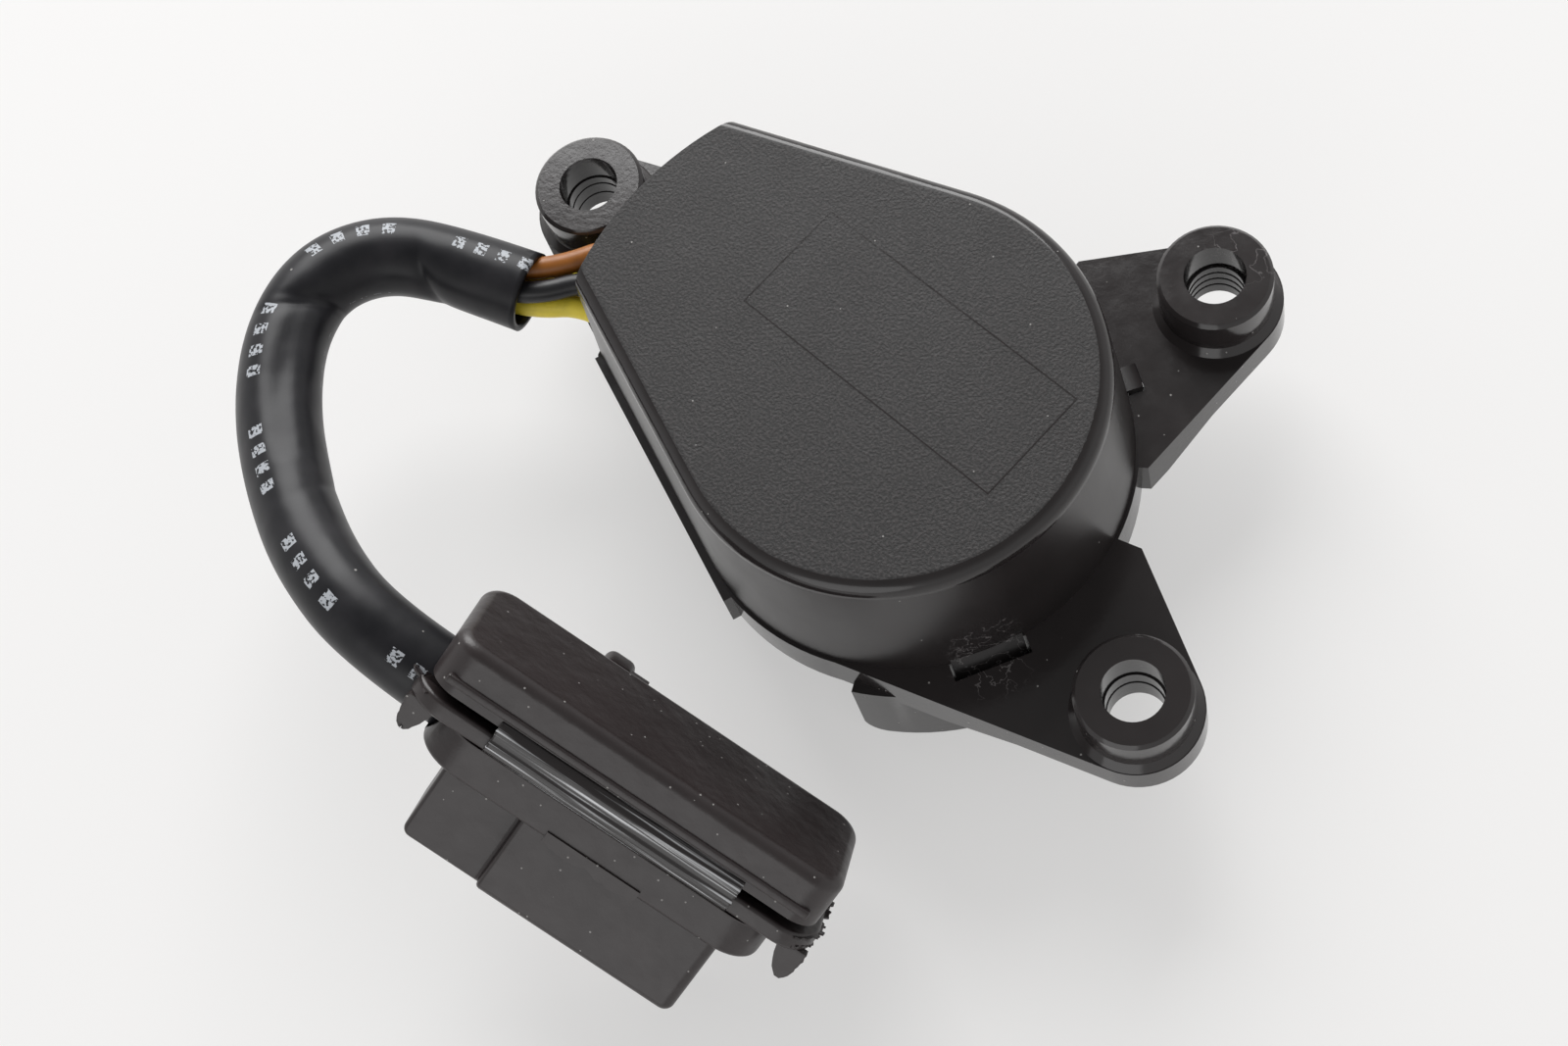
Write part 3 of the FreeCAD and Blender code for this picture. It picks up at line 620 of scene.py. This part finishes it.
sleeve_mesh.from_pydata(corners, [], walls)
for name, values in (("along", travel), ("around", turns)):
    sleeve_mesh.attributes.new(name, "FLOAT", "POINT").data.foreach_set("value", values)
sleeve = bpy.data.objects.new("sleeve_tube", sleeve_mesh)
bpy.context.scene.collection.objects.link(sleeve)
only(sleeve)
bpy.ops.object.mode_set(mode="EDIT")
bpy.ops.mesh.select_all(action="SELECT")
bpy.ops.mesh.normals_make_consistent(inside=False)
bpy.ops.object.mode_set(mode="OBJECT")
apply_modifier(sleeve, "SOLIDIFY", thickness=SLEEVE_WALL, offset=-1.0)
bpy.ops.object.shade_smooth()
print("sleeve mesh", len(sleeve.data.polygons), "faces")

# %% [markdown]
# The sleeve is smeared and scuffed, and carries a row of worn pale marks in groups. The two point
# attributes, the way along and the turn around, place the marks.

# %% Sleeve finish
SLEEVE_SPECULAR = 0.3
SMEAR_SIZE = 4 * MM
SMEAR_DETAIL = 5.0
SMEAR_RAMP = (0.3, 0.8)
SMEAR_ROUGH = 0.2
RUBBER_DARK = rgb(0.008, 0.008, 0.010)
RUBBER_LIGHT = rgb(0.020, 0.019, 0.022)
RUBBER_ROUGH = 0.28
SCUFF_SIZE = 2.2 * MM
SCUFF_R = 0.06
SCUFFS = 0.35
SCUFF_ROUGH = 0.3
MARK_TONE = rgb(0.42, 0.44, 0.47)
MARK_STEP = 2.3 * MM
MARK_SHARE = 0.5
GROUP_STEP = 13.8 * MM
GROUP_SHARE = 0.66
MARK_TURN = 1.9
MARK_HALF = 0.19
WORN_SIZE = 0.35 * MM
WORN_FROM = 0.47
UNEVEN_SIZE = 7 * MM
UNEVEN_DEPTH = 0.25 * MM
sleeve_finish = Finish("sleeve", IOR=PLASTIC_IOR, Specular_IOR_Level=SLEEVE_SPECULAR)
smear = sleeve_finish.noise(SMEAR_SIZE, SMEAR_DETAIL)
scuff = sleeve_finish.specks(SCUFF_SIZE, SCUFF_R, SCUFFS)
rubber = smear.ramp(*SMEAR_RAMP).mix(RUBBER_DARK, RUBBER_LIGHT)
along, around = [
    smear.node("ShaderNodeAttribute", {"attribute_name": name}, pick="Fac") for name in ("along", "around")]
in_step = along.math("FRACT", along / MARK_STEP) < MARK_SHARE
in_group = along.math("FRACT", along / GROUP_STEP) < GROUP_SHARE
in_line = around.math("ABSOLUTE", around - MARK_TURN) < MARK_HALF
worn = sleeve_finish.noise(WORN_SIZE, FINE) > WORN_FROM
marks = in_step * in_group * in_line * worn
sleeve_finish.feed("Base Color", marks.mix(scuff.mix(rubber, DUST), MARK_TONE))
sleeve_finish.feed("Roughness", smear * SMEAR_ROUGH + RUBBER_ROUGH + scuff * SCUFF_ROUGH)
sleeve_finish.bump(sleeve_finish.noise(UNEVEN_SIZE), UNEVEN_DEPTH)
sleeve_mesh.materials.append(sleeve_finish.material)
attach(sleeve, "housing")
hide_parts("sleeve")
print("sleeve finish made")

# %% [markdown]
# ## The plug's worn details
# The plug has its own tilted frame. A piece is modelled flat in it and then carried into place.

# %% Plug frame
PLUG_AT = Vector((3.69, -41.4, 17.9)) * MM
PLUG_TURNS = ((11.1, "Z"), (24.8, "Y"), (-55.4, "X"))
plug_place = Matrix.Translation(PLUG_AT)
for angle, axis in PLUG_TURNS:
    plug_place = plug_place @ Matrix.Rotation(math.radians(angle), 4, axis)


def to_plug(piece):
    only(piece)
    piece.matrix_world = plug_place @ piece.matrix_world
    bpy.ops.object.transform_apply(location=True, rotation=True, scale=True)


def on_plug(piece, body):
    to_plug(piece)
    piece.data.materials.append(plug_plastic.material)
    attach(piece, body)
    print(piece.name, len(piece.data.polygons), "faces")


def grid(name, columns, rows):
    bpy.ops.object.select_all(action="DESELECT")
    bpy.ops.mesh.primitive_grid_add(x_subdivisions=columns, y_subdivisions=rows, size=1)
    piece = bpy.context.object
    piece.name = name
    return piece


print("plug at", PLUG_AT)

# %% [markdown]
# The film hinge is a thin strip with two ridges, polished and whitened by bending. Its pale lengthwise
# streaks are partly that whitening and partly painted highlights. It is modelled as a grid and pushed
# into its section.

# %% Film hinge
HINGE_L = 26.0 * MM
HINGE_Z = (-1.6 * MM, 2.0 * MM)
HINGE_Y = -7.15 * MM
HINGE_T = 0.25 * MM
HINGE_RIDGE = 0.24 * MM
HINGE_BULGE = 0.42 * MM
HINGE_PROUD = 0.06 * MM
HINGE_RAGGED = 0.06 * MM
HINGE_END = 0.49
hinge = grid("film_hinge_strip", columns=120, rows=16)
for vertex in hinge.data.vertices:
    u, v = vertex.co.x, vertex.co.y + 0.5
    ridge = HINGE_RIDGE * math.sin(2 * math.pi * v) ** 2 + HINGE_BULGE * math.sin(math.pi * v)
    ragged = random.uniform(-HINGE_RAGGED, HINGE_RAGGED) if abs(u) > HINGE_END else 0.0
    vertex.co = (u * HINGE_L + ragged, HINGE_Y - (ridge + HINGE_PROUD),
                 HINGE_Z[0] + v * (HINGE_Z[1] - HINGE_Z[0]))
to_plug(hinge)
apply_modifier(hinge, "SOLIDIFY", thickness=HINGE_T, offset=-1.0)
bpy.ops.object.shade_smooth()
print("film hinge", len(hinge.data.polygons), "faces")

# %% Film finish
STREAK = (16 * MM, 0.3 * MM, 0.3 * MM)
FILM_DARK = rgb(0.020, 0.017, 0.017)
FILM_WHITE_AND_HIGHLIGHT = rgb(0.70, 0.71, 0.73)
WHITE_AND_HIGHLIGHT_RAMP = (0.52, 0.74)
WHITE_ROUGH = 0.2
FILM_ROUGH = 0.06
film = Finish("film_hinge", IOR=PLASTIC_IOR)
streak = film.place.node("ShaderNodeMapping", {"vector_type": "TEXTURE"}, {
    "Vector": film.place, "Location": PLUG_AT, "Rotation": plug_place.to_euler(), "Scale": STREAK})
# Pale streaks along the strip: partly whitening of the bent plastic, partly painted highlight.
white = streak.node("ShaderNodeTexNoise", None, {"Vector": streak, "Scale": 1.0, "Detail": 2.0})
film.feed("Base Color", white.ramp(*WHITE_AND_HIGHLIGHT_RAMP).mix(FILM_DARK, FILM_WHITE_AND_HIGHLIGHT))
film.feed("Roughness", white * WHITE_ROUGH + FILM_ROUGH)
hinge.data.materials.append(film.material)
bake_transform(hinge)
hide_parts("film_hinge")
print("film finish made")

# %% [markdown]
# Torn flash hangs from both ends of the plug's flange, and a pointed tab stands under each end. The
# flash is a strip bent round the flange's end, with teeth of uneven length.

# %% Flash strips
FLANGE_HALF = 21.8 * MM
FLANGE_CORNER = 4.0 * MM
FLANGE_FLAT = 2.8 * MM
FLASH_T = 0.22 * MM
FLASH_ROOT = 0.3 * MM
FLASH_WAVE = 0.25 * MM
FLASH_WAVES = 9
FLASH_CURL = 0.3
SHORTEST_TOOTH = 0.15


def flange_end(y):
    past = max(0.0, abs(y) - FLANGE_FLAT)
    return FLANGE_HALF - FLANGE_CORNER + math.sqrt(max(0.0, FLANGE_CORNER ** 2 - past ** 2))


def flash_strip(name, side, low_y, high_y, z, reach):
    strip = grid(name, columns=46, rows=3)
    teeth = {}
    for vertex in strip.data.vertices:
        u, v = round(vertex.co.x + 0.5, 4), vertex.co.y + 0.5
        tooth = teeth.setdefault(u, reach * random.uniform(SHORTEST_TOOTH, 1.0))
        y = low_y + u * (high_y - low_y)
        past = math.copysign(max(0.0, abs(y) - FLANGE_FLAT) / FLANGE_CORNER, y)
        out = tooth * v - FLASH_ROOT
        wave = FLASH_WAVE * math.sin(FLASH_WAVES * u)
        vertex.co = (side * (flange_end(y) + out * math.sqrt(1 - past ** 2)), y + out * past,
                     z + wave + FLASH_CURL * tooth * v)
    apply_modifier(strip, "SOLIDIFY", thickness=FLASH_T, offset=0.0)
    on_plug(strip, "housing")


flash_strip("flash_left", -1, -6.2 * MM, 5.0 * MM, z=-0.5 * MM, reach=0.9 * MM)
flash_strip("flash_right", 1, -6.4 * MM, 4.0 * MM, z=-0.4 * MM, reach=0.8 * MM)
flash_strip("flash_right_low", 1, -6.2 * MM, 0.0 * MM, z=-1.5 * MM, reach=0.5 * MM)

# %% Pointed tabs
TAB_W = 3.0 * MM
TAB_L = 3.6 * MM
TAB_T = 0.9 * MM
TAB_Y = -5.0 * MM
TAB_Z = -1.7 * MM
TAB_TILT = 0.3 * MM
TAB_POINT = 1.6
TAB_TIP = 0.02
TAB_RAGGED = 0.08 * MM
TAB_BEVEL = 0.12 * MM
TAB_BEVEL_FROM = math.radians(50)
TAB_SMOOTH_TO = math.radians(40)


def tab(name, x, lean):
    piece = grid(name, columns=10, rows=10)
    for vertex in piece.data.vertices:
        u, v = vertex.co.x, vertex.co.y + 0.5
        width = TAB_W * math.sqrt(max(TAB_TIP, 1 - v ** TAB_POINT))
        ragged = random.uniform(-TAB_RAGGED, TAB_RAGGED)
        vertex.co = (x + u * width + lean * v + ragged, TAB_Y + TAB_TILT * v, TAB_Z - TAB_L * v)
    apply_modifier(piece, "SOLIDIFY", thickness=TAB_T, offset=0.0)
    apply_modifier(piece, "BEVEL", width=TAB_BEVEL, segments=2, limit_method="ANGLE",
                   angle_limit=TAB_BEVEL_FROM)
    bpy.ops.object.shade_smooth_by_angle(angle=TAB_SMOOTH_TO)
    on_plug(piece, "housing")


tab("tab_left", x=-19.8 * MM, lean=-0.4 * MM)
tab("tab_right", x=20.2 * MM, lean=0.5 * MM)

# %% [markdown]
# The hood has a narrow ledge along its near wall, just above the hinge, and a rounded latch nub on
# the far wall. Each starts as a cube at its own size and gets its edges rounded.

# %% Hood ledge and nub
BAR_SMOOTH_TO = math.radians(40)


def rounded_bar(name, size, place, width, segments):
    bpy.ops.object.select_all(action="DESELECT")
    bpy.ops.mesh.primitive_cube_add(size=1, location=[c * MM for c in place])
    bar = bpy.context.object
    bar.name = name
    bar.scale = [c * MM for c in size]
    bpy.ops.object.transform_apply(location=True, rotation=True, scale=True)
    apply_modifier(bar, "BEVEL", width=width, segments=segments)
    bpy.ops.object.shade_smooth_by_angle(angle=BAR_SMOOTH_TO)
    on_plug(bar, "hood")


rounded_bar("hood_ledge", size=(38.6, 1.0, 0.9), place=(0.0, -7.0, 2.6), width=0.25 * MM, segments=3)
rounded_bar("hood_nub", size=(3.2, 3.4, 2.4), place=(-6.5, 8.6, 4.8), width=0.9 * MM, segments=5)

# %% [markdown]
# The hood has warped with age, and its near rim stands off the flange. Only the corners of the rim have
# points to lift, and the straight edge between them follows. The hinge strip covers its middle, and
# beyond both ends of the hinge the gap is dark.

# %% Warped rim
RIM_LIFT = 0.9 * MM
RIM_BELOW_Z = 1.3 * MM
RIM_BEFORE_Y = -4.0 * MM
RIM_EASE = 4.0 * MM
from_plug = plug_place.inverted()
warped = 0
for vertex in mouldings["plug_hood"].data.vertices:
    place = from_plug @ vertex.co
    past_hinge = abs(place.x) - HINGE_L / 2
    if place.z < RIM_BELOW_Z and place.y < RIM_BEFORE_Y and past_hinge > 0:
        place.z += RIM_LIFT * min(1.0, past_hinge / RIM_EASE)
        vertex.co = plug_place @ place
        warped += 1
print("rim points lifted", warped)

# %% [markdown]
# A strip of torn skin clings to the lower edge of the block. Only its free edge is ragged.

# %% Torn skin
BLOCK_FACE_Y = -6.3 * MM
BLOCK_END_Z = -6.0 * MM
SKIN_X = (-4.0 * MM, 6.0 * MM)
SKIN_T = 0.25 * MM
SKIN_HELD = 0.8 * MM
SKIN_TILT = 0.2 * MM
SKIN_TORN = (0.1 * MM, 0.5 * MM)
SKIN_WAVE = 0.5 * MM
SKIN_WAVES = 7
SKIN_SMOOTH_TO = math.radians(50)
skin = grid("torn_skin", columns=22, rows=3)
hang = {}
for vertex in skin.data.vertices:
    u, v = round(vertex.co.x + 0.5, 4), vertex.co.y + 0.5
    torn = hang.setdefault(u, random.uniform(*SKIN_TORN) + SKIN_WAVE * abs(math.sin(SKIN_WAVES * u)))
    vertex.co = (SKIN_X[0] + u * (SKIN_X[1] - SKIN_X[0]), BLOCK_FACE_Y - SKIN_TILT * (1 - v),
                 BLOCK_END_Z + SKIN_HELD - v * (SKIN_HELD + torn))
apply_modifier(skin, "SOLIDIFY", thickness=SKIN_T, offset=1.0)
bpy.ops.object.shade_smooth_by_angle(angle=SKIN_SMOOTH_TO)
on_plug(skin, "housing")

# %% [markdown]
# ## Screw marks
# Self-tapping screws have left fine rings in the three bores.

# %% Screw marks
SCREW_R = 2.8 * MM
SCREW_RIDGE_R = 0.08 * MM
SCREW_TILT = (4, 3)
ears = (
    (-42.9, 0.0, (12.4, 14.2)),
    (11.97, 30.70, (11.8, 13.0, 14.2, 15.4)),
    (33.13, -5.31, (13.4,)),
)
for number, (x, y, heights) in enumerate(ears):
    bpy.ops.object.select_all(action="DESELECT")
    for turn, z in enumerate(heights):
        tilt = (math.radians(SCREW_TILT[0] + turn), math.radians(SCREW_TILT[1] - turn), 0)
        bpy.ops.mesh.primitive_torus_add(
            major_segments=48, minor_segments=6, major_radius=SCREW_R, minor_radius=SCREW_RIDGE_R,
            location=(x * MM, y * MM, z * MM), rotation=tilt)
        screw_mark = bpy.context.object
        screw_mark.name = "screw_mark_%d_%d" % (number, turn)
        bpy.ops.object.transform_apply(location=True, rotation=True, scale=True)
        bpy.ops.object.shade_smooth()
        screw_mark.data.materials.append(base_plastic.material)
        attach(screw_mark, "housing")
print("screw marks in", len(ears), "bores")

# %% [markdown]
# ## Studio
# A pale floor that keeps the object's shadow. Half of what the camera and mirrored rays see of it is
# its own even glow.

# %% Floor
FLOOR_W = 4.0
FLOOR_Z = -0.02 * MM
FLOOR_TONE = rgb(0.86, 0.85, 0.84)
FLOOR_ROUGH = 0.9
GLOW_TONE = rgb(0.93, 0.925, 0.92)
GLOW_SHARE = 0.5
GLOW_RAYS = ("Is Camera Ray", "Is Glossy Ray", "Is Transmission Ray")
bpy.ops.object.select_all(action="DESELECT")
bpy.ops.mesh.primitive_plane_add(size=FLOOR_W, location=(0, 0, FLOOR_Z))
floor = bpy.context.object
floor.name = "floor"
floor_finish = Finish("floor", Base_Color=FLOOR_TONE, Roughness=FLOOR_ROUGH)
lit = Field(floor_finish.tree, floor_finish.shader.outputs[0])
seen = sum(lit.node("ShaderNodeLightPath", pick=name) for name in GLOW_RAYS)
glow = lit.node("ShaderNodeEmission", None, {"Color": GLOW_TONE})
surface = lit.node("ShaderNodeMixShader", None, {0: seen * GLOW_SHARE, 1: lit, 2: glow})
floor_finish.tree.links.new(surface.socket, floor_finish.tree.nodes["Material Output"].inputs[0])
floor.data.materials.append(floor_finish.material)
print("floor", FLOOR_W, "m")

# %% [markdown]
# One large soft lamp stands behind on the left, like a window, and a weak one in front. The white room
# gets darker towards its ceiling.

# %% Lamps and room
ROOM_RAMP = (0.35, 1.0)
ROOM_LOW = rgb(0.9, 0.9, 0.9)
ROOM_HIGH = rgb(0.28, 0.28, 0.28)
ROOM_STRENGTH = 0.8


def lamp(name, place, aim, size, watts):
    data = bpy.data.lights.new(name, "AREA")
    data.shape = "DISK"
    data.size = size
    data.energy = watts
    light = bpy.data.objects.new(name, data)
    light.location = place
    light.rotation_euler = (Vector(aim) - Vector(place)).to_track_quat("-Z", "Y").to_euler()
    bpy.context.scene.collection.objects.link(light)
    print(name, "lamp", watts, "W")


lamp("window", place=(-0.6, 0.45, 0.55), aim=(-0.01, -0.01, 0.02), size=0.8, watts=9.0)
lamp("front", place=(0.3, -0.75, 0.3), aim=(0, 0, 0.01), size=0.7, watts=1.4)
world = bpy.data.worlds.new("room")
bpy.context.scene.world = world
world.use_nodes = True
backdrop = world.node_tree.nodes["Background"]
direction = Field(world.node_tree).node("ShaderNodeTexCoord", pick="Generated")
height = direction.node("ShaderNodeSeparateXYZ", None, {0: direction}, pick="Z")
room = height.ramp(*ROOM_RAMP).mix(ROOM_LOW, ROOM_HIGH)
world.node_tree.links.new(room.socket, backdrop.inputs["Color"])
backdrop.inputs["Strength"].default_value = ROOM_STRENGTH
print("room light", ROOM_STRENGTH)
